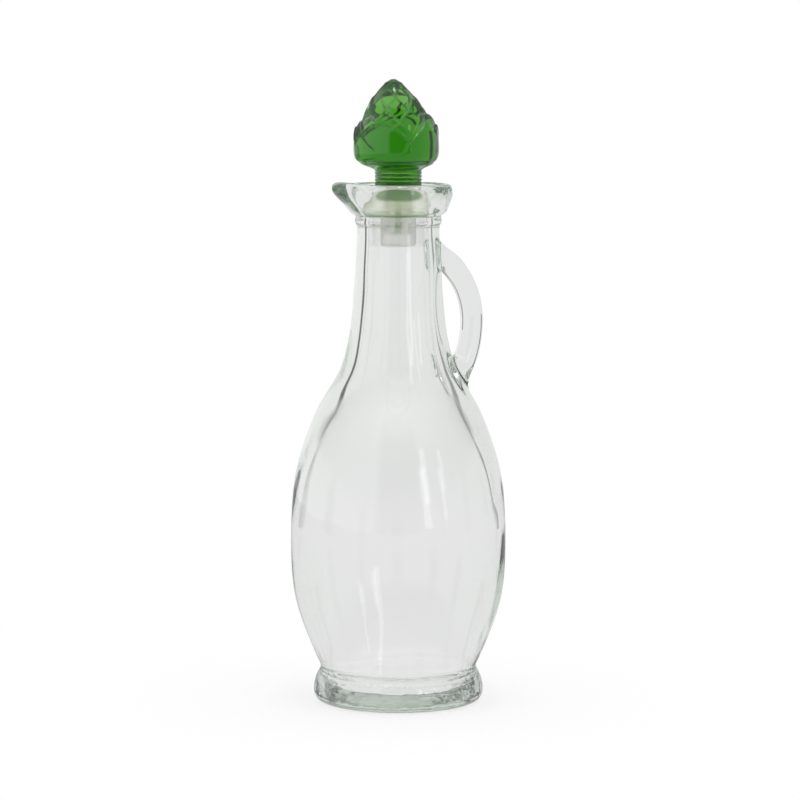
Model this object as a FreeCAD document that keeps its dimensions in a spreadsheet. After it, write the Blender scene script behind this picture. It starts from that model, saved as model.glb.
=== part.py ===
"""Oil cruet: a pressed clear-glass bottle with a pouring spout and an ear handle, and a
green glass artichoke knob on a soft ribbed plug that stops the mouth.

Millimetres. The origin is the centre of the base, +Z is up, the spout points along -X and
the handle along +X.
"""
import FreeCAD, Part
import math
import os
import re

import Sketcher

SIZES = {
    # foot
    "foot_radius": (35.1, "widest part of the foot"),
    "foot_height": (4.8, "height of the widest part of the foot"),
    "bearing_outer": (32.4, "outer edge of the flat ring that the bottle stands on"),
    "bearing_inner": (29.4, "inner edge of that ring"),
    "punt_height": (3.0, "rise of the hollow underside at its centre"),
    "waist_radius": (32.1, "valley between foot and body"),
    "waist_height": (14.4, "height of that valley"),
    "waist_fillet": (1.6, "rounding of that valley"),
    # body: from the waist up
    "body_radius": (44.5, "widest part of the body"),
    "lower_body": (43.6, "from the waist up to the widest band"),
    "belly_band": (21.0, "height of the widest band"),
    "shoulder_round": (48.0, "from there up to where the shoulder turns hollow"),
    "shoulder_hollow": (25.0, "from there up to the foot of the neck"),
    "neck_base_radius": (20.1, "outer radius at the foot of the neck"),
    "neck_radius": (16.9, "outer radius under the ring"),
    "neck_length": (44.8, "plain neck"),
    # inside
    "wall": (3.4, "glass at the belly"),
    "floor_thickness": (5.8, "glass at the centre of the floor"),
    "floor_edge_height": (7.3, "lowest ring of the inner floor"),
    "floor_edge_radius": (21.0, "radius of that ring"),
    "heel_wall": (3.5, "glass just above the waist"),
    "heel_rise": (1.6, "from the waist up to where that is measured"),
    "belly_thickening": (4.5, "by how much the widest band inside is shorter at each end"),
    "neck_wall": (5.9, "glass at the foot of the neck"),
    "neck_wall_rise": (8.0, "from the foot of the neck up to where that is measured"),
    "bore_radius": (12.5, "mouth bore"),
    "bore_length": (16.5, "true bore, below the funnel"),
    "funnel_depth": (10.9, "funnel, from the top of the lip down to the bore"),
    # ring and lip
    "ring_radius": (18.1, "ring between neck and lip"),
    "ring_height": (2.5, "that ring"),
    "ring_edge": (0.9, "slope below and above that ring"),
    "lip_root_radius": (18.6, "lip just above the ring"),
    "lip_radius": (22.3, "widest part of the lip"),
    "lip_height": (12.3, "lip, above the ring"),
    "lip_rounding": (3.9, "outer rounding of the lip"),
    # spout: its axis starts inside the lip and rises to the centre of its round nose
    "spout_root_reach": (12.0, "start of that axis, from the bottle's axis"),
    "spout_root_drop": (8.9, "start of that axis, below the top of the lip"),
    "spout_root_radius": (8.5, "spout at that start"),
    "spout_length": (15.9, "from that start to the centre of the nose"),
    "spout_rise": (24.5, "slope of that axis, degrees"),
    "nose_radius": (3.4, "rounded end of the spout"),
    "channel_root_reach": (9.0, "start of the pouring channel's axis"),
    "channel_root_drop": (4.2, "start of that axis, below the top of the lip"),
    "channel_root_radius": (5.2, "pouring channel at its root"),
    "channel_rise": (17.5, "slope of its axis, degrees"),
    "channel_end_radius": (1.9, "pouring channel at the nose"),
    # handle
    "handle_reach": (33.6, "centre line of the handle at its widest"),
    "handle_drop": (39.8, "that place, below the top of the plain neck"),
    "handle_radius": (4.7, "round section of the handle"),
    "handle_upper_bend": (31.9, "centre-line radius from there up to the neck"),
    "handle_lower_bend": (45.5, "centre-line radius from there down to the shoulder"),
    "handle_lower_drop": (29.0, "from there down to where the centre line ends in the wall"),
    # plug
    "plug_clearance": (0.08, "between the plug and the glass"),
    "plug_rise": (1.3, "seat of the knob's collar, above the top of the lip"),
    "plug_length": (26.4, "from that seat down to the edge of the skirt"),
    "plug_seat": (1.4, "cone that rests on the start of the funnel"),
    "plug_dome_radius": (9.5, "top of the dome"),
    "rib_depth": (0.35, "skirt behind the tips of the ribs"),
    "rib_width": (0.9, "one rib"),
    "rib_pitch": (1.9, "from rib to rib"),
    "rib_count": (3, "ribs"),
    "rib_rise": (7.9, "lowest rib, above the edge of the skirt"),
    "skirt_wall": (1.3, "wall of the skirt"),
    "web_drop": (2.0, "underside of the web between skirt and sleeve, below the funnel"),
    "sleeve_wall": (2.0, "wall of the sleeve that grips the knob's post"),
    "socket_clearance": (0.1, "between the post and the sleeve"),
    # knob: heights are above the seat of its collar
    "post_radius": (5.2, "post in the sleeve"),
    "post_length": (21.1, "post below the collar"),
    "post_end_gap": (0.3, "below the post's end"),
    "collar_radius": (9.7, "collar rings"),
    "collar_groove": (0.7, "depth of the grooves between the collar rings"),
    "collar_ring": (1.45, "height of one collar ring"),
    "collar_ring_count": (3, "collar rings"),
    "bud_base_radius": (11.0, "flat underside of the bud"),
    "bud_radius": (16.2, "widest part of the bud under its scales"),
    "bud_wide_low": (9.7, "lower end of the bud's widest band"),
    "bud_wide_high": (14.3, "upper end of the bud's widest band"),
    "bud_cheek_radius": (11.3, "bud where its sides turn straight"),
    "bud_cheek_height": (30.3, "height of that place"),
    "bud_tip_radius": (3.4, "bud where its blunt tip starts"),
    "bud_tip_low": (40.4, "height of that place"),
    "bud_tip_high": (41.4, "top of the blunt tip"),
    "scale_relief": (0.5, "step from one row of scales out to the next lower row"),
    "scale_count": (4, "scales in a row"),
    "scale_turn": (30.0, "turn of the outer row about the knob's axis, degrees"),
    "outer_scale_width": (12.2, "half width of a scale in the outer row"),
    "outer_scale_side": (15.8, "where the sides of such a scale turn in"),
    "outer_scale_top": (25.6, "tip of such a scale"),
    "middle_scale_width": (10.6, "half width of a scale in the middle row"),
    "middle_scale_side": (22.6, "where the sides of such a scale turn in"),
    "middle_scale_top": (33.6, "tip of such a scale"),
    "inner_scale_width": (7.2, "half width of a scale in the inner row"),
    "inner_scale_side": (31.4, "where the sides of such a scale turn in"),
    "inner_scale_top": (42.3, "tip of such a scale"),
}

# Heights, each from the one below it.
BELLY_LOW = "(waist_height + lower_body)"
BELLY_HIGH = f"({BELLY_LOW} + belly_band)"
SHOULDER = f"({BELLY_HIGH} + shoulder_round)"
NECK_BASE = f"({SHOULDER} + shoulder_hollow)"
NECK_TOP = f"({NECK_BASE} + neck_length)"
RING_LOW = f"({NECK_TOP} + ring_edge)"
RING_HIGH = f"({RING_LOW} + ring_height)"
LIP_ROOT = f"({RING_HIGH} + ring_edge)"
LIP_TOP = f"({LIP_ROOT} + lip_height)"
BORE_HIGH = f"({LIP_TOP} - funnel_depth)"
BORE_LOW = f"({BORE_HIGH} - bore_length)"
INNER_BELLY_LOW = f"({BELLY_LOW} + belly_thickening)"
INNER_BELLY_HIGH = f"({BELLY_HIGH} - belly_thickening)"
INNER_NECK_BASE = f"({NECK_BASE} + neck_wall_rise)"
HANDLE_HEIGHT = f"({NECK_TOP} - handle_drop)"
SEAT = f"({LIP_TOP} + plug_rise)"
PLUG_LOW = f"({SEAT} - plug_length)"
COLLAR_TOP = f"({SEAT} + collar_ring * collar_ring_count)"

# Radii that follow from others. A shoulder turns hollow on the chord between the two places
# that it joins, which keeps both of its arcs smooth where they meet.
SHOULDER_RADIUS = (
    "body_radius - (body_radius - neck_base_radius)"
    " * shoulder_round / (shoulder_round + shoulder_hollow)"
)
INNER_BELLY_RADIUS = "(body_radius - wall)"
INNER_NECK_RADIUS = (
    "(neck_base_radius - (neck_base_radius - neck_radius) * neck_wall_rise / neck_length"
    " - neck_wall)"
)
INNER_SHOULDER_RADIUS = (
    f"{INNER_BELLY_RADIUS} - ({INNER_BELLY_RADIUS} - {INNER_NECK_RADIUS})"
    f" * ({SHOULDER} - {INNER_BELLY_HIGH}) / ({INNER_NECK_BASE} - {INNER_BELLY_HIGH})"
)
FUNNEL_RADIUS = "(lip_radius - lip_rounding)"
PLUG_RADIUS = "(bore_radius - plug_clearance)"
SKIRT_RADIUS = f"({PLUG_RADIUS} - rib_depth)"
SOCKET_RADIUS = "(post_radius + socket_clearance)"

TOUCH = 0.001  # two places this near are the same

doc = FreeCAD.newDocument("oil_cruet")
sizes = doc.addObject("Spreadsheet::Sheet", "sizes")
for row, (alias, (amount, meaning)) in enumerate(SIZES.items(), start=1):
    sizes.set(f"A{row}", meaning)
    sizes.set(f"B{row}", str(amount))
    sizes.setAlias(f"B{row}", alias)
doc.recompute()


def bound(words):
    """An expression in which each word is an alias of the sheet."""
    return re.sub(r"[a-z_]+[a-z]", lambda match: "sizes." + match.group(), words)


def amount_of(words):
    """The present value of such an expression."""
    return float(sizes.evalExpression(bound(words)))


def new_body(label):
    body = doc.addObject("PartDesign::Body", label)
    body.Label = label
    return body


def origin_feature(body, role):
    """One of the body's own origin planes or axes."""
    return next(item for item in body.Origin.OriginFeatures if item.Role == role)


def new_sketch(body, name, role):
    """An empty sketch on one of the body's own origin planes."""
    sketch = body.newObject("Sketcher::SketchObject", name)
    sketch.AttachmentSupport = [(origin_feature(body, role), "")]
    sketch.MapMode = "FlatFace"
    return sketch


def pin(sketch, kind, edge, end, words):
    """Fixes one coordinate of a point to an expression, or to the axis where it is 0."""
    if words == "0":
        axis = -2 if kind == "DistanceX" else -1
        sketch.addConstraint(Sketcher.Constraint("PointOnObject", edge, end, axis))
        return
    index = sketch.addConstraint(Sketcher.Constraint(kind, edge, end, amount_of(words)))
    sketch.setExpression(f"Constraints[{index}]", bound(words))


def pin_radius(sketch, edge, words):
    index = sketch.addConstraint(Sketcher.Constraint("Radius", edge, amount_of(words)))
    sketch.setExpression(f"Constraints[{index}]", bound(words))


def arc_centre(start, end, rule):
    """Centre of the arc from start to end that is level with, or plumb over, one end."""
    near, far = (start, end) if rule.endswith("start") else (end, start)
    dx, dy = far[0] - near[0], far[1] - near[1]
    square = dx * dx + dy * dy
    if rule.startswith("level"):
        return near[0] + square / (2 * dx), near[1]
    return near[0], near[1] + square / (2 * dy)


def draw_arc(sketch, start, end, rule):
    """Adds the arc and gives its index and which of its ends is the start."""
    cx, cy = arc_centre(start, end, rule)
    radius = math.hypot(start[0] - cx, start[1] - cy)
    turn = (start[0] - cx) * (end[1] - cy) - (start[1] - cy) * (end[0] - cx)
    first, last = (start, end) if turn > 0 else (end, start)
    angles = [math.atan2(point[1] - cy, point[0] - cx) for point in (first, last)]
    circle = Part.Circle(FreeCAD.Vector(cx, cy, 0), FreeCAD.Vector(0, 0, 1), radius)
    edge = sketch.addGeometry(Part.ArcOfCircle(circle, *angles), False)
    return edge, (1 if turn > 0 else 2)


def draw_outline(sketch, corners):
    """A closed outline through corners of (x, y, edge to the next corner). The edge is
    "line", or "level" or "plumb" with "start" or "end": the arc whose centre lies level
    with, or plumb over, that end, so that it leaves that end upright or flat."""
    places = [(amount_of(x), amount_of(y)) for x, y, _ in corners]
    ends = []
    for index, (_, _, rule) in enumerate(corners):
        start, end = places[index], places[(index + 1) % len(places)]
        if rule == "line":
            segment = Part.LineSegment(FreeCAD.Vector(*start, 0), FreeCAD.Vector(*end, 0))
            ends.append((sketch.addGeometry(segment, False), 1, 2))
        else:
            edge, first = draw_arc(sketch, start, end, rule)
            ends.append((edge, first, 3 - first))
    for index, (x, y, rule) in enumerate(corners):
        edge, first, last = ends[index]
        after, after_first, _ = ends[(index + 1) % len(ends)]
        sketch.addConstraint(Sketcher.Constraint("Coincident", edge, last, after, after_first))
        pin(sketch, "DistanceX", edge, first, x)
        pin(sketch, "DistanceY", edge, first, y)
        if rule != "line":
            kind = "Horizontal" if rule.startswith("level") else "Vertical"
            side = first if rule.endswith("start") else last
            sketch.addConstraint(Sketcher.Constraint(kind, edge, 3, edge, side))


def turn_about(body, kind, name, sketch, axis):
    """A full Revolution or Groove of the sketch about one of its axes."""
    feature = body.newObject("PartDesign::" + kind, name)
    feature.Profile = sketch
    feature.ReferenceAxis = (sketch, [axis])
    feature.Angle = 360
    return feature


def revolve_outline(body, kind, name, corners):
    sketch = new_sketch(body, name + "_outline", "XZ_Plane")
    draw_outline(sketch, corners)
    return turn_about(body, kind, name, sketch, "V_Axis")


def revolve_on_slope(body, kind, name, reach, height, rise, corners):
    """Turns an outline about an axis that starts at (-reach, height) and rises to -X."""
    sketch = new_sketch(body, name + "_outline", "XZ_Plane")
    slope = FreeCAD.Rotation(FreeCAD.Vector(0, 0, 1), amount_of("180 - " + rise))
    sketch.AttachmentOffset = FreeCAD.Placement(FreeCAD.Vector(0, 0, 0), slope)
    sketch.setExpression(".AttachmentOffset.Base.x", bound("-" + reach))
    sketch.setExpression(".AttachmentOffset.Base.y", bound(height))
    sketch.setExpression(".AttachmentOffset.Rotation.Angle", bound("180 - " + rise))
    draw_outline(sketch, corners)
    return turn_about(body, kind, name, sketch, "H_Axis")


def is_ring(edge, radius, height):
    """Whether an edge is the full circle at that radius and height."""
    corner = edge.Vertexes[0].Point
    near = abs(math.hypot(corner.x, corner.y) - radius) < TOUCH
    return edge.isClosed() and near and abs(corner.z - height) < TOUCH


def round_ring(body, name, base, radius, height, fillet):
    """Rounds the circular edge that a feature has at a radius and height."""
    doc.recompute()
    place = (amount_of(radius), amount_of(height))
    edges = enumerate(base.Shape.Edges, start=1)
    feature = body.newObject("PartDesign::Fillet", name)
    feature.Base = (base, [f"Edge{number}" for number, edge in edges if is_ring(edge, *place)])
    feature.setExpression("Radius", bound(fillet))
    return feature


def add_handle_half(body, name, section, bend, end_kind, end_words):
    """Sweeps the handle's section from its widest place along one arc into the wall."""
    path = new_sketch(body, name + "_path", "XZ_Plane")
    start = (amount_of("handle_reach"), amount_of(HANDLE_HEIGHT))
    radius = amount_of(bend)
    centre = (start[0] - radius, start[1])
    if end_kind == "DistanceX":
        end_x = amount_of(end_words)
        end = (end_x, centre[1] + math.sqrt(radius**2 - (end_x - centre[0]) ** 2))
    else:
        end_y = amount_of(end_words)
        end = (centre[0] + math.sqrt(radius**2 - (end_y - centre[1]) ** 2), end_y)
    edge, first = draw_arc(path, start, end, "level start")
    pin(path, "DistanceX", edge, first, "handle_reach")
    pin(path, "DistanceY", edge, first, HANDLE_HEIGHT)
    path.addConstraint(Sketcher.Constraint("Horizontal", edge, 3, edge, first))
    pin_radius(path, edge, bend)
    pin(path, end_kind, edge, 3 - first, end_words)
    pipe = body.newObject("PartDesign::AdditivePipe", name)
    pipe.Profile = section
    pipe.Spine = (path, ["Edge1"])
    return pipe


def add_handle(body):
    section = new_sketch(body, "handle_section", "XY_Plane")
    section.setExpression(".AttachmentOffset.Base.z", bound(HANDLE_HEIGHT))
    centre = FreeCAD.Vector(amount_of("handle_reach"), 0, 0)
    radius = amount_of("handle_radius")
    upright = FreeCAD.Vector(0, 0, 1)
    ring = section.addGeometry(Part.Circle(centre, upright, radius), False)
    pin(section, "DistanceX", ring, 3, "handle_reach")
    pin(section, "DistanceY", ring, 3, "0")
    pin_radius(section, ring, "handle_radius")
    add_handle_half(
        body, "handle_upper", section, "handle_upper_bend", "DistanceX", "bore_radius")
    add_handle_half(
        body, "handle_lower", section, "handle_lower_bend", "DistanceY",
        f"{HANDLE_HEIGHT} - handle_lower_drop")


def build_bottle():
    body = new_body("bottle")
    glass = revolve_outline(body, "Revolution", "glass", [
        ("0", "punt_height", "plumb start"),
        ("bearing_inner", "0", "line"),
        ("bearing_outer", "0", "level end"),
        ("foot_radius", "foot_height", "level start"),
        ("waist_radius", "waist_height", "level end"),
        ("body_radius", BELLY_LOW, "line"),
        ("body_radius", BELLY_HIGH, "level start"),
        (SHOULDER_RADIUS, SHOULDER, "level end"),
        ("neck_base_radius", NECK_BASE, "line"),
        ("neck_radius", NECK_TOP, "line"),
        ("ring_radius", RING_LOW, "line"),
        ("ring_radius", RING_HIGH, "line"),
        ("lip_root_radius", LIP_ROOT, "level end"),
        ("lip_radius", f"{LIP_TOP} - lip_rounding", "level start"),
        (FUNNEL_RADIUS, LIP_TOP, "line"),
        ("0", LIP_TOP, "line"),
    ])
    round_ring(body, "waist", glass, "waist_radius", "waist_height", "waist_fillet")
    revolve_on_slope(
        body, "Revolution", "spout", "spout_root_reach", f"{LIP_TOP} - spout_root_drop",
        "spout_rise", [
            ("0", "0", "line"),
            ("0", "-spout_root_radius", "line"),
            ("spout_length", "-nose_radius", "plumb start"),
            ("spout_length + nose_radius", "0", "line"),
        ])
    add_handle(body)
    above = f"{LIP_TOP} + lip_rounding"
    revolve_outline(body, "Groove", "inside", [
        ("0", "punt_height + floor_thickness", "plumb start"),
        ("floor_edge_radius", "floor_edge_height", "plumb start"),
        ("waist_radius - heel_wall", "waist_height + heel_rise", "level end"),
        (INNER_BELLY_RADIUS, INNER_BELLY_LOW, "line"),
        (INNER_BELLY_RADIUS, INNER_BELLY_HIGH, "level start"),
        (INNER_SHOULDER_RADIUS, SHOULDER, "level end"),
        (INNER_NECK_RADIUS, INNER_NECK_BASE, "line"),
        ("bore_radius", BORE_LOW, "line"),
        ("bore_radius", BORE_HIGH, "line"),
        (FUNNEL_RADIUS, LIP_TOP, "line"),
        (FUNNEL_RADIUS, above, "line"),
        ("0", above, "line"),
    ])
    revolve_on_slope(
        body, "Groove", "channel", "channel_root_reach", f"{LIP_TOP} - channel_root_drop",
        "channel_rise", [
            ("0", "0", "line"),
            ("0", "-channel_root_radius", "line"),
            ("spout_length", "-channel_end_radius", "line"),
            ("2 * spout_length", "-channel_end_radius", "line"),
            ("2 * spout_length", "0", "line"),
        ])
    return body


def repeat_upward(body, name, feature, pitch, count):
    """Repeats a feature upward, from its own place, at a pitch."""
    pattern = body.newObject("PartDesign::LinearPattern", name)
    pattern.Originals = [feature]
    pattern.Direction = (origin_feature(body, "Z_Axis"), [""])
    pattern.Mode = "Spacing"
    pattern.setExpression("Offset", bound(pitch))
    pattern.setExpression("Occurrences", bound(count))
    body.Tip = pattern
    return pattern


def build_plug():
    body = new_body("stopper_plug")
    seat_radius = (
        f"{PLUG_RADIUS} + plug_seat * ({FUNNEL_RADIUS} - bore_radius) / funnel_depth"
    )
    inner_skirt = f"{SKIRT_RADIUS} - skirt_wall"
    sleeve = f"{SOCKET_RADIUS} + sleeve_wall"
    socket_low = f"{SEAT} - post_length - post_end_gap"
    web_low = f"{BORE_HIGH} - web_drop"
    revolve_outline(body, "Revolution", "plug", [
        (SOCKET_RADIUS, SEAT, "line"),
        (SOCKET_RADIUS, socket_low, "line"),
        ("0", socket_low, "line"),
        ("0", PLUG_LOW, "line"),
        (sleeve, PLUG_LOW, "line"),
        (sleeve, web_low, "line"),
        (inner_skirt, web_low, "line"),
        (inner_skirt, PLUG_LOW, "line"),
        (SKIRT_RADIUS, PLUG_LOW, "line"),
        (SKIRT_RADIUS, BORE_HIGH, "line"),
        (PLUG_RADIUS, BORE_HIGH, "line"),
        (seat_radius, f"{BORE_HIGH} + plug_seat", "level start"),
        ("plug_dome_radius", SEAT, "line"),
    ])
    rib_root = f"{SKIRT_RADIUS} - skirt_wall / 2"
    rib_centre = f"{PLUG_LOW} + rib_rise"
    rib = revolve_outline(body, "Revolution", "rib", [
        (rib_root, f"{rib_centre} - rib_width / 2", "line"),
        (SKIRT_RADIUS, f"{rib_centre} - rib_width / 2", "level end"),
        (PLUG_RADIUS, rib_centre, "level start"),
        (SKIRT_RADIUS, f"{rib_centre} + rib_width / 2", "line"),
        (rib_root, f"{rib_centre} + rib_width / 2", "line"),
    ])
    repeat_upward(body, "ribs", rib, "rib_pitch", "rib_count")
    return body


def bud_outline(step):
    """Half outline of the bud, grown by a number of relief steps."""
    grown = f" + {step} * scale_relief"
    return [
        ("0", COLLAR_TOP, "line"),
        ("bud_base_radius" + grown, COLLAR_TOP, "level end"),
        ("bud_radius" + grown, f"{SEAT} + bud_wide_low", "line"),
        ("bud_radius" + grown, f"{SEAT} + bud_wide_high", "level start"),
        ("bud_cheek_radius" + grown, f"{SEAT} + bud_cheek_height", "line"),
        ("bud_tip_radius" + grown, f"{SEAT} + bud_tip_low", "plumb end"),
        ("0", f"{SEAT} + bud_tip_high" + grown, "line"),
    ]


def build_scale_row(name, step, turn):
    """A row of pointed scales: the bud grown by some steps, within a crown of prisms."""
    skin = new_body(name + "_skin")
    revolve_outline(skin, "Revolution", name + "_bulge", bud_outline(step))
    crown = new_body(name + "_crown")
    sketch = new_sketch(crown, name + "_shape", "XZ_Plane")
    half, side, top = (f"{name}_{part}" for part in ("width", "side", "top"))
    draw_outline(sketch, [
        ("0", COLLAR_TOP, "line"),
        (half, COLLAR_TOP, "line"),
        (half, f"{SEAT} + {side}", "level start"),
        ("0", f"{SEAT} + {top}", "level end"),
        ("-" + half, f"{SEAT} + {side}", "line"),
        ("-" + half, COLLAR_TOP, "line"),
    ])
    prism = crown.newObject("PartDesign::Pad", name + "_prism")
    prism.Profile = sketch
    prism.setExpression("Length", bound("2 * bud_radius"))
    pattern = crown.newObject("PartDesign::PolarPattern", name + "_prisms")
    pattern.Originals = [prism]
    pattern.Axis = (origin_feature(crown, "Z_Axis"), [""])
    pattern.Angle = 360
    pattern.setExpression("Occurrences", bound("scale_count"))
    crown.Tip = pattern
    crown.setExpression("Placement.Rotation.Angle", bound(turn))
    scales = doc.addObject("Part::Common", name + "_row")
    scales.Base = skin
    scales.Tool = crown
    return scales


def build_knob():
    core = new_body("knob_core")
    ring_edge = "collar_radius - collar_groove"
    ring = revolve_outline(core, "Revolution", "collar_ring_one", [
        ("0", SEAT, "line"),
        (ring_edge, SEAT, "level end"),
        ("collar_radius", f"{SEAT} + collar_ring / 2", "level start"),
        (ring_edge, f"{SEAT} + collar_ring", "line"),
        ("0", f"{SEAT} + collar_ring", "line"),
    ])
    repeat_upward(core, "collar_rings", ring, "collar_ring", "collar_ring_count")
    post_low = f"{SEAT} - post_length"
    revolve_outline(core, "Revolution", "post", [
        ("0", post_low, "line"),
        ("post_radius", post_low, "line"),
        ("post_radius", f"{SEAT} + collar_ring", "line"),
        ("0", f"{SEAT} + collar_ring", "line"),
    ])
    revolve_outline(core, "Revolution", "bud", bud_outline(0))
    half_step = "scale_turn + 180 / scale_count"
    rows = [
        build_scale_row("outer_scale", 3, "scale_turn"),
        build_scale_row("middle_scale", 2, half_step),
        build_scale_row("inner_scale", 1, "scale_turn"),
    ]
    knob = doc.addObject("Part::MultiFuse", "stopper_knob")
    knob.Label = "stopper_knob"
    knob.Shapes = [core] + rows
    return knob


pieces = [build_bottle(), build_plug(), build_knob()]
doc.recompute()

for item in doc.Objects:
    if "Invalid" in item.State or "Error" in item.State:
        raise RuntimeError(f"{item.Name} did not build: {item.State}")
for piece in pieces:
    if piece.Shape.isNull() or not piece.Shape.isValid():
        raise RuntimeError(f"{piece.Label} has no valid shape")

os.makedirs("parts", exist_ok=True)
for piece in pieces:
    piece.Shape.exportStep(f"parts/{piece.Label}.step")
    box = piece.Shape.optimalBoundingBox(False)
    print(piece.Label, len(piece.Shape.Solids), round(piece.Shape.Volume), box)
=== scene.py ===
"""Oil cruet: a clear pressed-glass bottle with a pulled spout and an ear handle, and a green
glass artichoke knob on a milky ribbed plug. Shapes are in millimetres until a mesh is scaled.
Materials and the stage are in metres."""

import math

import bmesh
import bpy
from mathutils import Matrix, Vector, noise


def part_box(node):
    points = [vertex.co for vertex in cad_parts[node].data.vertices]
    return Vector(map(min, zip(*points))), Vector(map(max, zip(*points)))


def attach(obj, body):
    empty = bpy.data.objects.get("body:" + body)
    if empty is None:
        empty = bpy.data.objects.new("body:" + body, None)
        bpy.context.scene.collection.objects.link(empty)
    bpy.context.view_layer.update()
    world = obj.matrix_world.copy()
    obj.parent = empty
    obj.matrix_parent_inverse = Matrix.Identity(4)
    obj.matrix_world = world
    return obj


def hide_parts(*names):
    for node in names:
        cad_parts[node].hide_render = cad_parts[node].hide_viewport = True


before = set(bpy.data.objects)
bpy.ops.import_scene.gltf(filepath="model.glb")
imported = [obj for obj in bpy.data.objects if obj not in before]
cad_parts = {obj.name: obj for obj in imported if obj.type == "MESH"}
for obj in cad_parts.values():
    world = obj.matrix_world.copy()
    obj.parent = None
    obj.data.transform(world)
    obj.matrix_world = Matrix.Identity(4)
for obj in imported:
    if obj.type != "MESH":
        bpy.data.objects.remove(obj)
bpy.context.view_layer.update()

MM = 0.001
FULL_TURN = 2 * math.pi
UPRIGHT = Vector((0, 0, 1))
ACROSS = Vector((0, 1, 0))

# A place nearer than this to the axis or to a level counts as on it
TOUCH = 0.01

# Side that the cruet is mostly looked at from: spout to the left, handle to the right
FRONT = math.radians(-115)


def height_of(node, end):
    """Lowest (0) or highest (1) level of a CAD node."""
    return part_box(node)[end].z / MM


# Levels that the pieces share
SEAT = height_of("stopper_plug", 1)
PLUG_LOW = height_of("stopper_plug", 0)
POST_LOW = height_of("stopper_knob", 0)

# Bottle, as (height, radius) where its outline bends
OUTSIDE = [
    (0.0, 32.4), (1.4, 34.2), (4.0, 35.1), (7.0, 35.0), (10.6, 34.0), (13.9, 32.2),
    (15.2, 32.2), (18.0, 33.6), (25.2, 36.7), (32.8, 39.7), (41.6, 42.4), (52.0, 44.0),
    (66.0, 44.42), (78.0, 44.2), (91.0, 43.1), (104.0, 40.1), (115.3, 36.1), (122.8, 32.9),
    (130.2, 28.3), (137.7, 24.0), (148.8, 20.7), (160.0, 19.1), (180.0, 17.6), (196.0, 16.8),
]
INSIDE = [
    (7.6, 27.4), (10.0, 28.8), (13.0, 29.3), (16.0, 29.7), (22.5, 31.4), (29.0, 34.2),
    (43.0, 38.4), (58.0, 40.6), (68.0, 41.1), (77.0, 40.9), (86.0, 39.4), (96.6, 36.8),
    (109.0, 32.3), (120.0, 26.4), (125.0, 23.0), (131.0, 19.8), (138.0, 17.4), (145.0, 16.0),
    (153.0, 14.7), (161.0, 13.8), (178.0, 13.1), (186.0, 12.5),
]
UNDERSIDE = [(3.0, 0), (2.9, 10), (2.3, 20), (1.1, 27.6), (0.0, 29.2), (0.0, 30.8)]
RING_AND_LIP = [
    (196.9, 16.9), (197.3, 17.5), (198.1, 17.9), (199.3, 17.9), (200.1, 17.6),
    (200.7, 17.5), (201.2, 18.2), (202.0, 19.7), (204.3, 20.7), (206.8, 21.8),
    (209.4, 22.35), (211.7, 22.3), (213.3, 21.5), (213.9, 20.3), (213.8, 19.2),
    (212.8, 18.2), (209.8, 16.7), (206.2, 14.7), (203.6, 13.2), (202.3, 12.6), (200.0, 12.5),
    (193.0, 12.5),
]
INNER_FLOOR = [(6.2, 25.4), (5.5, 23.0), (5.4, 19.5), (6.0, 14.0), (6.8, 7.5), (7.0, 0)]

# How closely the outline is divided
BOTTLE_COLUMNS = 48
BOTTLE_SMOOTHING = 2
HEEL = 0.6
WAIST_END = 18.0
NECK_END = 196.6
FOOT_ROW = 1.6
BODY_ROW = 6.0
ROOT_ROW = 2.0
NECK_TOP_ROW = 3.2
INNER_ROW = 8.0
INNER_FOOT_ROW = 2.4

LOWER_ROOT = (130.0, 142.0)
UPPER_ROOT = (178.0, 190.0)
ROOT_HALF_ANGLE = math.radians(15)
ROOT_DEPTH = 1.5
HANDLE_REACH = 33.6
HANDLE_LEVEL = 157.0
HANDLE_RADIUS = 4.7
HANDLE_SWELL = 1.016
HANDLE_SIDES = 20
HANDLE_UPPER_BEND = 31.9
HANDLE_UPPER_END = math.radians(52)
HANDLE_UPPER_STEPS = 9
HANDLE_LOWER_BEND = 45.5
HANDLE_LOWER_END = math.radians(22)
HANDLE_LOWER_STEPS = 5

SPOUT_LOW = 201.0
SPOUT_HIGH = 210.0
SPOUT_REACH = 7.6
SPOUT_CURVE = 1.4
SPOUT_RISE = 1.3
SPOUT_SPREAD = 0.36
SPOUT_GATHER = 0.35
GATHER_SPREAD = 0.6
LIP_MIDDLE = 19.3
CHANNEL_REACH = 5.6
CHANNEL_CURVE = 1.6
CHANNEL_SPREAD = 0.2
NOTCH_DEPTH = 1.3
NOTCH_SPREAD = 0.07
NOTCH_LOW = 212.0
NOTCH_RADIUS = 21.6

WAVY_HEIGHTS = (12.0, 190.0)
WAVY_RADIUS = 2.0
WAVY_WALL = 2.5
WAVE_DEPTH = 0.5
WAVE_SQUASH = 0.5
WAVE_SCALE = 0.05
# Dents behind the roots of the handle: level, half height, half width, depth
DENTS = [(181.0, 7.0, 4.0, 1.9), (137.0, 8.0, 5.0, 2.2)]


def smooth_step(value):
    """0 below 0, 1 above 1, and smooth between."""
    t = min(max(value, 0.0), 1.0)
    return t * t * (3 - 2 * t)


def bell(value):
    """1 at 0, and fading out on both sides."""
    return math.exp(-value * value)


def slope_at(knots, index):
    """Slope of the smooth line through the knots, at one of them."""
    below = knots[max(index - 1, 0)]
    above = knots[min(index + 1, len(knots) - 1)]
    return (above[1] - below[1]) / (above[0] - below[0])


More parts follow.
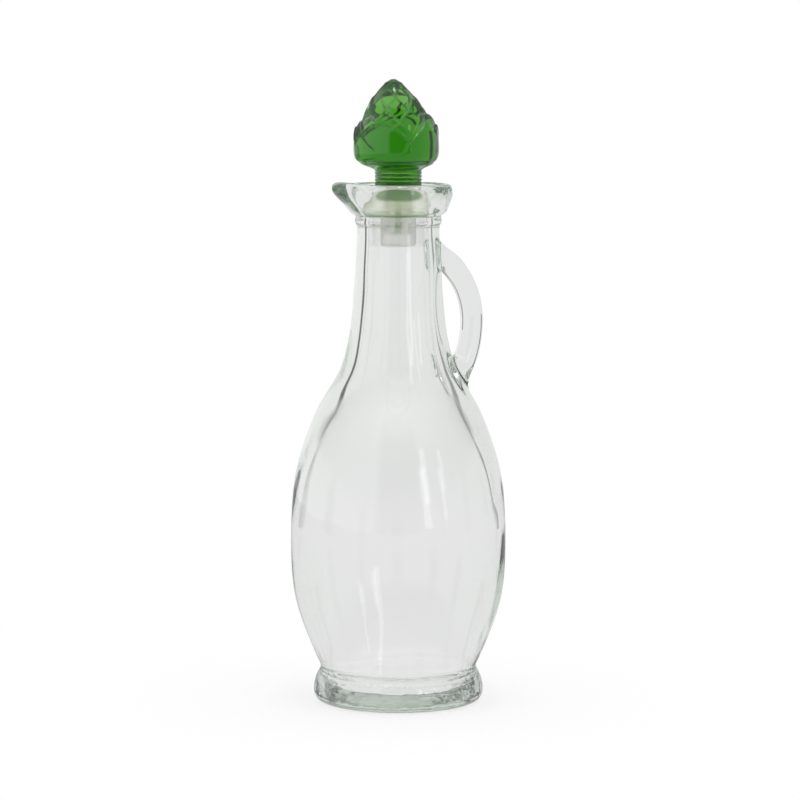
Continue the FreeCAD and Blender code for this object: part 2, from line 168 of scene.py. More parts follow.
def radius_at(knots, height):
    """Radius at a height, on the smooth line through knots of (height, radius)."""
    index = max(i for i in range(len(knots) - 1) if i == 0 or knots[i][0] <= height)
    low, high = knots[index], knots[index + 1]
    span = high[0] - low[0]
    t = (height - low[0]) / span
    start, end = slope_at(knots, index) * span, slope_at(knots, index + 1) * span
    rise = high[1] - low[1]
    return low[1] + t * (start + t * ((3 * rise - 2 * start - end) + t * (start + end - 2 * rise)))


def outer_radius(height):
    """Radius of the bottle's outer wall, which goes up to the ring."""
    return radius_at(OUTSIDE, min(height, OUTSIDE[-1][0]))


def levels(low, high, spacing):
    """Levels from low to just short of high, about one spacing apart."""
    count = max(1, round(abs(high - low) / spacing))
    return [low + (high - low) * i / count for i in range(count)]


def along(knots, heights):
    return [(height, radius_at(knots, height)) for height in heights]


def polar(place):
    return math.hypot(place.x, place.y), math.atan2(place.y, place.x)


def spin_outline(mesh, outline, columns):
    """Turns an outline of (height, radius) about the upright axis into a closed skin."""
    points = [mesh.verts.new((radius, 0, height)) for height, radius in outline]
    edges = [mesh.edges.new(pair) for pair in zip(points, points[1:])]
    bmesh.ops.spin(
        mesh, geom=points + edges, cent=(0, 0, 0), axis=UPRIGHT, dvec=(0, 0, 0),
        angle=FULL_TURN, steps=columns, use_merge=True, use_duplicate=False)
    bmesh.ops.remove_doubles(mesh, verts=mesh.verts, dist=0.0005)


def finish_mesh(mesh, name, material, node, subdivisions=0):
    """Scales to metres, makes the object and hands it to the frame."""
    bmesh.ops.recalc_face_normals(mesh, faces=mesh.faces)
    bmesh.ops.scale(mesh, vec=(MM, MM, MM), verts=mesh.verts)
    data = bpy.data.meshes.new(name)
    mesh.to_mesh(data)
    mesh.free()
    data.polygons.foreach_set("use_smooth", [True] * len(data.polygons))
    piece = bpy.data.objects.new(name, data)
    bpy.context.scene.collection.objects.link(piece)
    data.materials.append(material)
    if subdivisions:
        modifier = piece.modifiers.new("smooth", "SUBSURF")
        modifier.levels = subdivisions
        modifier.render_levels = subdivisions
    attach(piece, "root")
    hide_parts(node)


# Bottle

def bottle_outline():
    foot = along(OUTSIDE, levels(HEEL, WAIST_END, FOOT_ROW))
    body = along(OUTSIDE, levels(WAIST_END, LOWER_ROOT[0], BODY_ROW))
    lower_root = along(OUTSIDE, levels(*LOWER_ROOT, ROOT_ROW))
    neck = along(OUTSIDE, levels(LOWER_ROOT[1], UPPER_ROOT[0], BODY_ROW))
    upper_root = along(OUTSIDE, levels(*UPPER_ROOT, ROOT_ROW))
    neck_top = along(OUTSIDE, levels(UPPER_ROOT[1], NECK_END, NECK_TOP_ROW))
    inside = along(INSIDE, levels(INSIDE[-1][0], WAIST_END, INNER_ROW))
    inner_foot = along(INSIDE, levels(WAIST_END, INSIDE[0][0], INNER_FOOT_ROW))
    return (UNDERSIDE + foot + body + lower_root + neck + upper_root + neck_top
            + RING_AND_LIP + inside + inner_foot + INSIDE[:1] + INNER_FLOOR)


def pull_spout(mesh):
    """Pulls the lip out to the pouring side and sinks a channel into it."""
    for vert in mesh.verts:
        if vert.co.z < SPOUT_LOW:
            continue
        radius, angle = polar(vert.co)
        turn = math.atan2(math.sin(angle - math.pi), math.cos(angle - math.pi))
        turn *= 1 - SPOUT_GATHER * bell(turn / GATHER_SPREAD)
        rise = min(1.0, (vert.co.z - SPOUT_LOW) / (SPOUT_HIGH - SPOUT_LOW))
        vert.co.x = -radius * math.cos(turn)
        vert.co.y = -radius * math.sin(turn)
        if radius < LIP_MIDDLE:
            vert.co.x -= CHANNEL_REACH * rise ** CHANNEL_CURVE * bell(turn / CHANNEL_SPREAD)
        else:
            vert.co.x -= SPOUT_REACH * rise ** SPOUT_CURVE * bell(turn / SPOUT_SPREAD)
        if vert.co.z > NOTCH_LOW and radius < NOTCH_RADIUS:
            vert.co.z -= NOTCH_DEPTH * bell(turn / NOTCH_SPREAD)
        vert.co.z += SPOUT_RISE * rise * bell(turn / SPOUT_SPREAD)


def uneven_inside(mesh):
    """The inner wall of pressed and blown glass is a little wavy, and dented behind the
    roots of the handle."""
    for vert in mesh.verts:
        radius, angle = polar(vert.co)
        height = vert.co.z
        if not WAVY_HEIGHTS[0] <= height <= WAVY_HEIGHTS[1]:
            continue
        if not WAVY_RADIUS <= radius <= outer_radius(height) - WAVY_WALL:
            continue
        place = Vector((vert.co.x, vert.co.y, height * WAVE_SQUASH)) * WAVE_SCALE
        shift = WAVE_DEPTH * noise.noise(place)
        for level, half_height, half_width, depth in DENTS:
            near = bell(angle * radius / half_width)
            shift += depth * bell((height - level) / half_height) * near
        grow = (radius + shift) / radius
        vert.co.x *= grow
        vert.co.y *= grow


def open_root(mesh, low, high):
    """Cuts the hole in the outer wall that a root of the handle grows from."""
    faces = []
    for face in mesh.faces:
        centre = face.calc_center_median()
        radius, angle = polar(centre)
        outer = radius > outer_radius(centre.z) - ROOT_DEPTH
        if low < centre.z < high and abs(angle) < ROOT_HALF_ANGLE and outer:
            faces.append(face)
    bmesh.ops.delete(mesh, geom=faces, context="FACES")
    return [edge for edge in mesh.edges if edge.is_boundary]


def sweep(mesh, ring, bend, angle, steps):
    """Turns a ring of the handle along one arc and gives the ring at its end."""
    made = bmesh.ops.spin(
        mesh, geom=ring, cent=(HANDLE_REACH - bend, 0, HANDLE_LEVEL), axis=ACROSS,
        dvec=(0, 0, 0), angle=angle, steps=steps, use_merge=False, use_duplicate=False)
    return [item for item in made["geom_last"] if isinstance(item, bmesh.types.BMEdge)]


def grow_handle(mesh):
    upper_hole = open_root(mesh, *UPPER_ROOT)
    both = open_root(mesh, *LOWER_ROOT)
    lower_hole = [edge for edge in both if edge not in set(upper_hole)]
    place = Matrix.Translation((HANDLE_REACH, 0, HANDLE_LEVEL))
    made = bmesh.ops.create_circle(
        mesh, cap_ends=False, segments=HANDLE_SIDES, radius=HANDLE_RADIUS * HANDLE_SWELL,
        matrix=place)
    ring = list({edge for vert in made["verts"] for edge in vert.link_edges})
    upper_end = sweep(mesh, ring, HANDLE_UPPER_BEND, -HANDLE_UPPER_END, HANDLE_UPPER_STEPS)
    lower_end = sweep(mesh, ring, HANDLE_LOWER_BEND, HANDLE_LOWER_END, HANDLE_LOWER_STEPS)
    bmesh.ops.bridge_loops(mesh, edges=upper_hole + upper_end)
    bmesh.ops.bridge_loops(mesh, edges=lower_hole + lower_end)


def make_bottle(material):
    mesh = bmesh.new()
    spin_outline(mesh, bottle_outline(), BOTTLE_COLUMNS)
    pull_spout(mesh)
    uneven_inside(mesh)
    grow_handle(mesh)
    finish_mesh(mesh, "bottle_glass", material, "bottle", BOTTLE_SMOOTHING)


# Plug

PLUG_COLUMNS = 96
PLUG_RADIUS = 12.42
PLUG_NECK_RADIUS = 9.5
NECK_EDGE = 0.3
SOCKET_RADIUS = 5.3
SOCKET_EDGE = 0.6
SOCKET_MOUTH = 0.4
POST_END_GAP = 0.3
DOME_TOP = 209.0
DOME_RADIUS = 13.1
DOME_FOOT = 1.4
DOME_STEPS = 8
CONE_RADIUS = 12.9
CONE_RISE = 0.6
WEB_LOW = 200.5
WEB_TOP = 202.5
WEB_CORNER = 0.7
SKIRT_RADIUS = 12.07
SKIRT_WALL = 1.3
SKIRT_STEP = 0.4
SKIRT_EDGE = 0.3
SLEEVE_RADIUS = 7.3
ROUNDING = 0.5
RIB_LOW = 196.2
RIB_PITCH = 1.9
RIB_HALF = 0.45
RIB_TIP_HALF = 0.2
RIB_COUNT = 3


def dome_outline():
    """A quarter of an ellipse from the plug's neck down to its widest place."""
    drop = DOME_TOP - WEB_TOP - DOME_FOOT
    spread = DOME_RADIUS - PLUG_NECK_RADIUS
    angles = [math.radians(step * 90 / DOME_STEPS) for step in range(1, DOME_STEPS + 1)]
    return [(DOME_TOP - drop * (1 - math.cos(angle)), PLUG_NECK_RADIUS + spread * math.sin(angle))
            for angle in angles]


def plug_outline():
    socket_end = POST_LOW - POST_END_GAP
    inner_skirt = SKIRT_RADIUS - SKIRT_WALL
    outline = [
        (socket_end, 0), (socket_end, SOCKET_RADIUS - SOCKET_EDGE),
        (socket_end + SOCKET_EDGE, SOCKET_RADIUS), (SEAT - SOCKET_MOUTH, SOCKET_RADIUS),
        (SEAT, SOCKET_RADIUS + SOCKET_MOUTH), (SEAT, PLUG_NECK_RADIUS - NECK_EDGE),
        (SEAT - NECK_EDGE, PLUG_NECK_RADIUS), (DOME_TOP, PLUG_NECK_RADIUS),
    ]
    outline += dome_outline()
    outline += [
        (WEB_TOP + CONE_RISE, CONE_RADIUS), (WEB_TOP, PLUG_RADIUS),
        (WEB_TOP - SKIRT_STEP, SKIRT_RADIUS),
    ]
    for rib in reversed(range(RIB_COUNT)):
        centre = RIB_LOW + rib * RIB_PITCH
        outline += [
            (centre + RIB_HALF, SKIRT_RADIUS), (centre + RIB_TIP_HALF, PLUG_RADIUS),
            (centre - RIB_TIP_HALF, PLUG_RADIUS), (centre - RIB_HALF, SKIRT_RADIUS),
        ]
    outline += [
        (PLUG_LOW + ROUNDING, SKIRT_RADIUS), (PLUG_LOW, SKIRT_RADIUS - SKIRT_STEP),
        (PLUG_LOW, inner_skirt + SKIRT_EDGE), (PLUG_LOW + ROUNDING, inner_skirt),
        (WEB_LOW - WEB_CORNER, inner_skirt), (WEB_LOW, inner_skirt - WEB_CORNER),
        (WEB_LOW, SLEEVE_RADIUS + WEB_CORNER), (WEB_LOW - WEB_CORNER, SLEEVE_RADIUS),
        (PLUG_LOW + ROUNDING, SLEEVE_RADIUS), (PLUG_LOW, SLEEVE_RADIUS - ROUNDING),
        (PLUG_LOW, 0),
    ]
    return outline


def make_plug(material):
    mesh = bmesh.new()
    spin_outline(mesh, plug_outline(), PLUG_COLUMNS)
    finish_mesh(mesh, "plug_soft", material, "stopper_plug")


# Knob

KNOB_COLUMNS = 320
KNOB_ROW = 0.22
POST_RADIUS = 5.2
POST_JOIN = 0.02
PIN_RADIUS = 1.2
PIN_TOP = 206.0
PIN_FLARE = 2.5
PIN_EDGE = 0.6
PIN_BEVEL = 0.2
COLLAR_RADIUS = 9.7
COLLAR_GROOVE = 0.7
COLLAR_RING = 1.45
COLLAR_RINGS = 3
RING_STEPS = 3
RING_REACH = 3.2
CORE = [
    (219.2, 9.7), (220.9, 9.5), (222.2, 9.7), (223.4, 11.1), (225.0, 11.9), (227.6, 12.2),
    (233.0, 12.0), (238.5, 11.2), (242.0, 10.3), (244.6, 9.6), (247.1, 8.3), (249.5, 6.8),
    (252.2, 4.8), (254.4, 2.8),
]
CORE_LOW = CORE[0][0]
TIP_RISE = 2.1
TIP_CURVE = 1.3
TIP_STEPS = 12
TIP_BLEND = 2.5
RELIEF_BLEND = 3.0
LEAN = 0.8
LEAN_BLEND = 5.0
TIP_LEAN = 1.2
TIP_LEAN_LOW = 235.0
TIP_LEAN_BLEND = 20.0

OUTER_COUNT = 4
OUTER_STEP = 2.0
OUTER_SEAM = FRONT + math.radians(20)
OUTER_VALLEY = 231.2
OUTER_TIPS = (242.6, 242.0, 239.8, 239.5)
OUTER_FACET = 0.35
UPPER_COUNT = 8
# Rows of upper scales: valley, tip, offset
UPPER_ROWS = [
    (233.6, 239.4, 0.875), (239.4, 245.2, 0.375), (245.2, 249.8, 0.875), (249.8, 255.4, 0.375),
]
SCALE_STEP = 0.8
STEP_WIDTH = 0.35
FACET = 0.5
RIM = 0.35
RIM_DROP = 0.7
RIM_WIDTH = 0.4
SEAM_DEPTH = 0.4
SEAM_WIDTH = 0.45
SEAM_RADIUS = 17.5
SEAM_LOW = 224.0
SEAM_LOW_BLEND = 4.0
SEAM_HIGH = 234.5
SEAM_HIGH_BLEND = 2.0
SEAM_MIDDLE = 233.0
SEAM_SLANT = math.radians(1.5)


def zigzag(turns):
    """0 at whole turns and 1 halfway between them."""
    return abs(2 * (turns - math.floor(turns + 0.5)))


def outer_edge(angle):
    """Top edge of the four large scales."""
    turns = (angle - OUTER_SEAM) * OUTER_COUNT / FULL_TURN
    share = zigzag(turns)
    tip = OUTER_TIPS[math.floor(turns) % OUTER_COUNT]
    return OUTER_VALLEY + (tip - OUTER_VALLEY) * math.sin(share * math.pi / 2)


def ledge(edge, height):
    """0 above an edge and 1 below it, over a short bevel."""
    return min(max((edge - height) / STEP_WIDTH + 0.5, 0.0), 1.0)


def rim(edge, height):
    """The thickened edge of a scale."""
    return RIM * bell((edge - RIM_DROP - height) / RIM_WIDTH)


def flatness(turns, count):
    """How far a flat facet between two seams stands out of the round, at a place on it."""
    half = math.pi / count
    share = zigzag(turns) * half
    return FACET * (1 / math.cos(share) - 1 / math.cos(half / 2))


def seam_groove(angle, height):
    """How deep the slanting seams between the large scales are."""
    slant = SEAM_SLANT * (height - SEAM_MIDDLE)
    turns = (angle - OUTER_SEAM - slant) * OUTER_COUNT / FULL_TURN
    near = zigzag(turns) * math.pi / OUTER_COUNT * SEAM_RADIUS
    seam = smooth_step((height - SEAM_LOW) / SEAM_LOW_BLEND)
    seam *= smooth_step((SEAM_HIGH - height) / SEAM_HIGH_BLEND)
    return SEAM_DEPTH * seam * bell(near / SEAM_WIDTH)


def scale_relief(angle, height, radius):
    """How far the scales stand out of the knob's core."""
    edge = outer_edge(angle)
    cover = ledge(edge, height)
    out = OUTER_STEP * cover + rim(edge, height)
    turns = (angle - OUTER_SEAM) * OUTER_COUNT / FULL_TURN + 0.5
    facet = OUTER_FACET * cover * flatness(turns, OUTER_COUNT)
    covered = cover
    for valley, tip, offset in UPPER_ROWS:
        turns = (angle - FRONT) * UPPER_COUNT / FULL_TURN + offset
        edge = tip - (tip - valley) * zigzag(turns)
        cover = ledge(edge, height)
        out += SCALE_STEP * cover
        facet += max(0, cover - covered) * flatness(turns, UPPER_COUNT)
        out += rim(edge, height) * (1 - covered)
        covered = max(cover, covered)
    return out + facet * radius - seam_groove(angle, height)


def shape_scales(mesh):
    """Raises the scales, and leans the knob a little to its left."""
    for vert in mesh.verts:
        above = vert.co.z - CORE_LOW
        if above < TOUCH:
            continue
        radius, angle = polar(vert.co)
        if radius > TOUCH:
            out = scale_relief(angle, vert.co.z, radius) * smooth_step(above / RELIEF_BLEND)
            grow = 1 + out * min(1, radius / TIP_BLEND) / radius
            vert.co.x *= grow
            vert.co.y *= grow
        lean = LEAN * smooth_step(above / LEAN_BLEND)
        lean += TIP_LEAN * smooth_step((vert.co.z - TIP_LEAN_LOW) / TIP_LEAN_BLEND)
        vert.co.x += lean * math.sin(FRONT)
        vert.co.y -= lean * math.cos(FRONT)


def collar_outline():
    """Half-round rings with narrow grooves between them."""
    groove = COLLAR_RADIUS - COLLAR_GROOVE
    outline = [(SEAT, groove)]
    for ring in range(COLLAR_RINGS):
        middle = SEAT + (ring + 0.5) * COLLAR_RING
        for step in range(-RING_STEPS, RING_STEPS + 1):
            share = step / RING_REACH
            bulge = COLLAR_GROOVE * math.sqrt(1 - share * share)
            outline.append((middle + share * COLLAR_RING / 2, groove + bulge))
    return outline


def tip_outline():
    """The blunt tip, which closes on the axis."""
    height, radius = CORE[-1]
    outline = []
    for step in range(TIP_STEPS):
        turn = step * math.pi / (2 * TIP_STEPS)
        outline.append((height + TIP_RISE * math.sin(turn) ** TIP_CURVE, radius * math.cos(turn)))
    return outline + [(height + TIP_RISE, 0)]


def knob_outline():
    post = [
        (POST_LOW, 0), (POST_LOW, PIN_RADIUS - PIN_EDGE),
        (POST_LOW + PIN_BEVEL, PIN_RADIUS - PIN_BEVEL), (POST_LOW + PIN_EDGE, PIN_RADIUS),
        (PIN_TOP, PIN_RADIUS), (PIN_TOP + PIN_FLARE, POST_RADIUS),
        (SEAT - POST_JOIN, POST_RADIUS),
    ]
    core = along(CORE, levels(CORE_LOW, CORE[-1][0], KNOB_ROW))
    return post + collar_outline() + core + tip_outline()


def make_knob(material):
    mesh = bmesh.new()
    spin_outline(mesh, knob_outline(), KNOB_COLUMNS)
    shape_scales(mesh)
    finish_mesh(mesh, "knob_glass", material, "stopper_knob")


# Materials

class Link:
    """An output of a node. Arithmetic on it adds Math nodes."""

    def __init__(self, shader, made, output):
        self.shader = shader
        self.made = made
        self.output = made.outputs[output]

    def other(self, output):
        """Another output of the same node."""
        return Link(self.shader, self.made, output)

    def math(self, operation, first, second):
        return self.shader.node("Math", {"operation": operation}, {0: first, 1: second})

    def __add__(self, value):
        return self.math("ADD", self, value)

    def __radd__(self, value):
        return self.math("ADD", value, self)

    def __sub__(self, value):
        return self.math("SUBTRACT", self, value)

    def __rsub__(self, value):
        return self.math("SUBTRACT", value, self)

    def __mul__(self, value):
        return self.math("MULTIPLY", self, value)

    def __rmul__(self, value):
        return self.math("MULTIPLY", value, self)


class Shader:
    """A node tree that is written as calls."""

    def __init__(self, owner):
        owner.use_nodes = True
        self.tree = owner.node_tree
        self.tree.nodes.clear()

    def node(self, kind, settings=None, sockets=None, output=0):
        made = self.tree.nodes.new("ShaderNode" + kind)
        for name, value in (settings or {}).items():
            setattr(made, name, value)
        for name, value in (sockets or {}).items():
            if isinstance(value, Link):
                self.tree.links.new(value.output, made.inputs[name])
            else:
                made.inputs[name].default_value = value
        return Link(self, made, output) if made.outputs else made

    def ramp(self, value, low, high, start=0.0, end=1.0):
        """A smooth change from start to end as a value goes from low to high."""
        settings = {"interpolation_type": "SMOOTHSTEP"}
        return self.node("MapRange", settings, {0: value, 1: low, 2: high, 3: start, 4: end})

    def blend(self, factor, first, second):
        """A colour between two, by a factor."""
        sockets = {0: factor, 6: first, 7: second}
        return self.node("Mix", {"data_type": "RGBA"}, sockets, output=2)

    def cosine(self, value):
        return self.node("Math", {"operation": "COSINE"}, {0: value})

    def place(self):
        return self.node("TexCoord", output="Object")

    def length(self, vector):
        settings = {"operation": "LENGTH"}
        return self.node("VectorMath", settings, {0: vector}, output="Value")


def new_material(name):
    material = bpy.data.materials.new(name)
    return material, Shader(material)


def waves(shader, scale, stretch, strength, distance):
    """Normals of a surface that is faintly uneven."""
    place = shader.node("Mapping", None, {"Vector": shader.place(), "Scale": stretch})
    field = shader.node("TexNoise", None, {"Vector": place, "Scale": scale, "Detail": 1.5})
    sockets = {"Strength": strength, "Distance": distance, "Height": field}
    return shader.node("Bump", None, sockets)


def solid_glass(shader, normal, roughness, tint, density):
    """Clear glass that takes its colour from how thick it is."""
    surface = shader.node("BsdfPrincipled", None, {
        "Base Color": (1, 1, 1, 1), "Roughness": roughness, "IOR": 1.5,
        "Transmission Weight": 1.0, "Normal": normal})
    volume = shader.node("VolumeAbsorption", None, {"Color": tint, "Density": density})
    shader.node("OutputMaterial", None, {"Surface": surface, "Volume": volume})


UNDERSIDE_ROUGHNESS = 0.15
UNDERSIDE_LEVELS = (0.002, 0.0045)
DIMPLE_SCALE = 170.0
DIMPLE_DEPTH = 0.0004
DIMPLED_LEVELS = (0.010, 0.016)
CLEAR_TINT = (0.25, 0.45, 0.27, 1)
CLEAR_DENSITY = 7.0


def clear_glass():
    material, shader = new_material("clear_glass")
    uneven = waves(shader, scale=45.0, stretch=(1.0, 1.0, 0.5), strength=1.0, distance=0.0006)
    place = shader.place()
    height = shader.node("SeparateXYZ", None, {"Vector": place}, output="Z")
    rough = shader.ramp(height, *UNDERSIDE_LEVELS, UNDERSIDE_ROUGHNESS, 0.0)
    sockets = {"Vector": place, "Scale": DIMPLE_SCALE, "Detail": 2.0}
    dimples = shader.node("TexNoise", None, sockets)
    dimples = dimples * shader.ramp(height, *DIMPLED_LEVELS, 1.0, 0.0)
    uneven = shader.node("Bump", None, {
        "Strength": 1.0, "Distance": DIMPLE_DEPTH, "Height": dimples, "Normal": uneven})
    solid_glass(shader, uneven, rough, CLEAR_TINT, CLEAR_DENSITY)
    return material


GREEN_TINT = (0.43, 0.785, 0.12, 1)
GREEN_DENSITY = 190.0


def green_glass():
    material, shader = new_material("green_glass")
    uneven = waves(shader, scale=120.0, stretch=(1.0, 1.0, 1.0), strength=0.6, distance=0.0003)
    solid_glass(shader, uneven, 0.0, GREEN_TINT, GREEN_DENSITY)
    return material


MILKY = (0.99, 0.99, 0.96, 1)
YELLOWED = (0.95, 0.99, 0.80, 1)
YELLOWED_LEVELS = (0.194, 0.204)
# Painted reflection: dark green on the plug's neck and dome top, standing in for the green knob
# seen through the lip
PAINTED_KNOB_REFLECTION = (0.05, 0.2, 0.02, 1)
PAINTED_KNOB_REFLECTION_LEVELS = (0.2068, 0.2075)
SLEEVE_ALPHA = 0.5
SKIRT_ALPHA = 0.08
SKIRT_START = (0.0078, 0.0095)
DOME_ALPHA = 0.9
DOME_LEVELS = (0.2, 0.206)


def plug_plastic():
    """Milky plastic, thin in the skirt and thick in the dome. Its neck and dome top carry a
    painted reflection: dark green that stands in for the green knob seen through the lip.
    """
    material, shader = new_material("plug_plastic")
    place = shader.place()
    height = shader.node("SeparateXYZ", None, {"Vector": place}, output="Z")
    colour = shader.blend(shader.ramp(height, *YELLOWED_LEVELS), MILKY, YELLOWED)
    # Painted reflection of the green knob, laid over the plug's upper part
    colour = shader.blend(shader.ramp(height, *PAINTED_KNOB_REFLECTION_LEVELS), colour, PAINTED_KNOB_REFLECTION)
    flat = shader.node("VectorMath", {"operation": "MULTIPLY"}, {0: place, 1: (1, 1, 0)})
    alpha = shader.ramp(shader.length(flat), *SKIRT_START, SLEEVE_ALPHA, SKIRT_ALPHA)
    alpha = alpha + (DOME_ALPHA - alpha) * shader.ramp(height, *DOME_LEVELS)
    fine = waves(shader, scale=900.0, stretch=(1.0, 1.0, 1.0), strength=0.3, distance=0.00005)
    surface = shader.node("BsdfPrincipled", None, {
        "Base Color": colour, "Roughness": 0.55, "IOR": 1.25, "Normal": fine,
        "Transmission Weight": 0.75, "Alpha": alpha})
    shader.node("OutputMaterial", None, {"Surface": surface})
    return material


# Stage

ROOM_LEVEL = 0.82
FLOOR_RADIUS = 1.2
FLOOR_WHITE = (0.97, 0.97, 0.97, 1)
FLOOR_MIRRORED = 0.6
FLOOR_GLOW = 0.7
FLOOR_GLOW_REACH = 0.25
FLOOR_BENT_GLOW = 0.8


def floor_material():
    """Matt white that keeps the shadow near the cruet and turns plain white further out."""
    material, shader = new_material("floor_white")
    matt = shader.node("BsdfDiffuse", None, {"Color": FLOOR_WHITE})
    bent = shader.node("LightPath", output="Is Transmission Ray")
    mirrored = bent.other("Is Glossy Ray") * (1.0 - bent)
    plain = shader.node("Emission", None, {
        "Color": (1, 1, 1, 1),
        "Strength": 1.0 - (1.0 - ROOM_LEVEL) * bent - (1.0 - FLOOR_MIRRORED) * mirrored})
    reach = shader.length(shader.place())
    share = shader.ramp(reach, 0.0, FLOOR_GLOW_REACH, FLOOR_GLOW, 1.0)
    share = share + (1.0 - share) * bent * FLOOR_BENT_GLOW
    surface = shader.node("MixShader", None, {0: share, 1: matt, 2: plain})
    shader.node("OutputMaterial", None, {"Surface": surface})
    return material


def make_floor():
    mesh = bmesh.new()
    bmesh.ops.create_circle(mesh, cap_ends=True, segments=96, radius=FLOOR_RADIUS)
    data = bpy.data.meshes.new("floor")
    mesh.to_mesh(data)
    mesh.free()
    data.materials.append(floor_material())
    floor = bpy.data.objects.new("floor", data)
    bpy.context.scene.collection.objects.link(floor)


# Room that glass bends. Directions are cosines from a side, or upward shares.
FLAG_COUNT = 8
FLAG_EDGE = (0.6, 1.0)
FLAG_TOP = (0.2, 0.5)
FLAG_DARKNESS = 0.65
FLAG_SIDE = math.radians(112.5)
FLAG_SIDE_DARKNESS = 0.3
BACKDROP_AHEAD = math.radians(65)
BACKDROP_EDGE = (0.94, 0.98)
BAND_DARKNESS = 0.6
BAND_START = (0.26, 0.42)
BAND_END = (0.55, 0.75)
CEILING_GAIN = 2.4
CEILING_START = (0.72, 0.9)

# Room that glass mirrors
MIRRORED_LEVEL = 0.9
MIRRORED_LEFT_GAIN = 0.35
CAMERA_SIDE_LEVEL = 0.1
CAMERA_SIDE_EDGE = (0.88, 0.95)
OVERHEAD_LEVEL = 1.3
OVERHEAD_START = (0.55, 0.8)


def bent_room(shader, angle, up):
    """The room that light bent by glass comes from: pale grey, with narrow dark flags
    round it, a darker band above them and a bright ceiling."""
    turns = shader.cosine((angle - math.pi / FLAG_COUNT) * FLAG_COUNT)
    flags = shader.ramp(turns, *FLAG_EDGE)
    ahead = shader.cosine(angle - BACKDROP_AHEAD)
    flags = flags * shader.ramp(ahead, *BACKDROP_EDGE, 1.0, 0.0)
    side = shader.cosine(angle - FLAG_SIDE)
    flags = flags * shader.ramp(up, *FLAG_TOP, 1.0, 0.0)
    room = ROOM_LEVEL * (1.0 - flags * (FLAG_DARKNESS + FLAG_SIDE_DARKNESS * side))
    band = shader.ramp(up, *BAND_START) * shader.ramp(up, *BAND_END, 1.0, 0.0)
    room = room * (1.0 - BAND_DARKNESS * band)
    return room * shader.ramp(up, *CEILING_START, 1.0, CEILING_GAIN)


def mirrored_room(shader, angle, up):
    """The room that glass mirrors: pale walls, brighter to the left, dark in front, and
    bright overhead."""
    near = shader.cosine(angle - FRONT)
    left = shader.cosine(angle - FRONT + math.pi / 2)
    walls = shader.ramp(near, *CAMERA_SIDE_EDGE, MIRRORED_LEVEL, CAMERA_SIDE_LEVEL)
    walls = walls * (1.0 + MIRRORED_LEFT_GAIN * left)
    share = shader.ramp(up, *OVERHEAD_START)
    return walls + (OVERHEAD_LEVEL - walls) * share


def make_world():
    """A plain white backdrop. Glass bends and mirrors a pale room instead, which gives it
    its dark lines and bright edges."""
    world = bpy.data.worlds.new("studio")
    bpy.context.scene.world = world
    shader = Shader(world)
    way = shader.node("TexCoord", output="Generated")
    east = shader.node("SeparateXYZ", None, {"Vector": way}, output="X")
    up = east.other("Z")
    angle = shader.node("Math", {"operation": "ARCTAN2"}, {0: east.other("Y"), 1: east})
    glossy = shader.node("LightPath", output="Is Glossy Ray")
    bent = glossy.other("Is Transmission Ray")
    mirrored = glossy * (1.0 - bent)
    strength = bent * bent_room(shader, angle, up) + mirrored * mirrored_room(shader, angle, up)
    strength = strength + (1.0 - bent) * (1.0 - mirrored)
    back = shader.node("Background", None, {"Color": (1, 1, 1, 1), "Strength": strength})
    shader.node("OutputWorld", None, {"Surface": back})


def outward(turn):
    """The level direction at a turn from the front."""
    return Vector((math.cos(FRONT + turn), math.sin(FRONT + turn), 0))


def add_lamp(light, place, out):
    """Puts a lamp at a place and points it back along a direction."""
    lamp = bpy.data.objects.new(light.name, light)
    bpy.context.scene.collection.objects.link(lamp)
    lamp.location = place
    lamp.rotation_euler = out.to_track_quat("Z", "Y").to_euler()


STRIP_DISTANCE = 0.8


def add_strip(name, turn, low, high, width, radiance):
    """An upright strip of light."""
    light = bpy.data.lights.new(name, "AREA")
    light.shape = "RECTANGLE"
    light.size = width
    light.size_y = high - low
    light.energy = radiance * width * (high - low) * math.pi
    out = outward(math.radians(turn))
    add_lamp(light, out * STRIP_DISTANCE + UPRIGHT * (low + high) / 2, out)


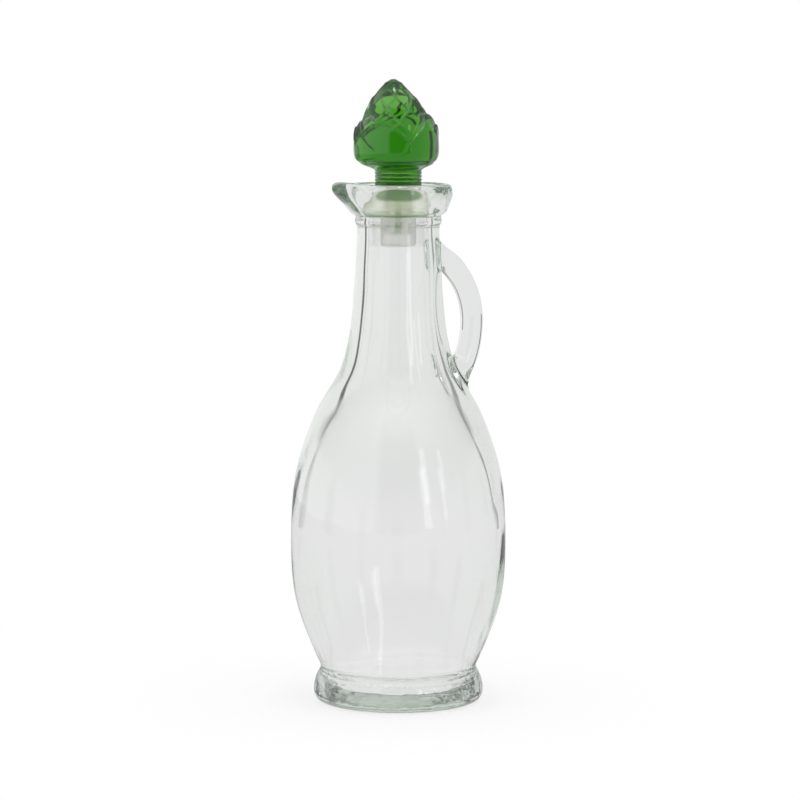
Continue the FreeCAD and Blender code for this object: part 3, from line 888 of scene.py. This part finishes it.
TOP_WIDTH = 0.16
TOP_RADIANCE = 9.0
TOP_RISE = math.radians(80)
TOP_TURN = math.radians(20)
TOP_DISTANCE = 0.9
TOP_AIM = 0.2


def add_top_light():
    """A small round lamp above, aimed at the neck."""
    light = bpy.data.lights.new("top_light", "AREA")
    light.shape = "DISK"
    light.size = TOP_WIDTH
    light.energy = TOP_RADIANCE * math.pi * (TOP_WIDTH / 2) ** 2 * math.pi
    out = outward(TOP_TURN) * math.cos(TOP_RISE) + UPRIGHT * math.sin(TOP_RISE)
    add_lamp(light, out * TOP_DISTANCE + UPRIGHT * TOP_AIM, out)


def make_lamps():
    add_top_light()
    add_strip("strip_wide", turn=30, low=0.16, high=0.56, width=0.1, radiance=1.9)
    add_strip("strip_narrow", turn=51, low=0.24, high=0.5, width=0.07, radiance=1.6)


CAMERA_LENS = 153.9
CAMERA_SENSOR = 36
CAMERA_DISTANCE = 1.4
CAMERA_HEIGHT = 0.272
CAMERA_SHIFT = 0.0007
CAMERA_PITCH = math.radians(6)
CAMERA_NEAR = 0.05


def make_camera():
    camera = bpy.data.objects.new("camera", bpy.data.cameras.new("camera"))
    bpy.context.scene.collection.objects.link(camera)
    camera.data.lens = CAMERA_LENS
    camera.data.sensor_width = CAMERA_SENSOR
    camera.data.clip_start = CAMERA_NEAR
    out = outward(0)
    right = outward(math.pi / 2)
    camera.location = out * CAMERA_DISTANCE + right * CAMERA_SHIFT + UPRIGHT * CAMERA_HEIGHT
    look = -out * math.cos(CAMERA_PITCH) - UPRIGHT * math.sin(CAMERA_PITCH)
    camera.rotation_euler = look.to_track_quat("-Z", "Y").to_euler()
    bpy.context.scene.camera = camera


make_bottle(clear_glass())
make_plug(plug_plastic())
make_knob(green_glass())
make_floor()
make_world()
make_lamps()
make_camera()
bpy.context.scene.view_settings.view_transform = "Standard"
# Light that runs along inside thick glass is mirrored many times before it comes out.
bpy.context.scene.cycles.max_bounces = 32
bpy.context.scene.cycles.glossy_bounces = 32
bpy.context.scene.cycles.transmission_bounces = 32
bpy.context.scene.cycles.diffuse_bounces = 16
bpy.context.scene.cycles.transparent_max_bounces = 24
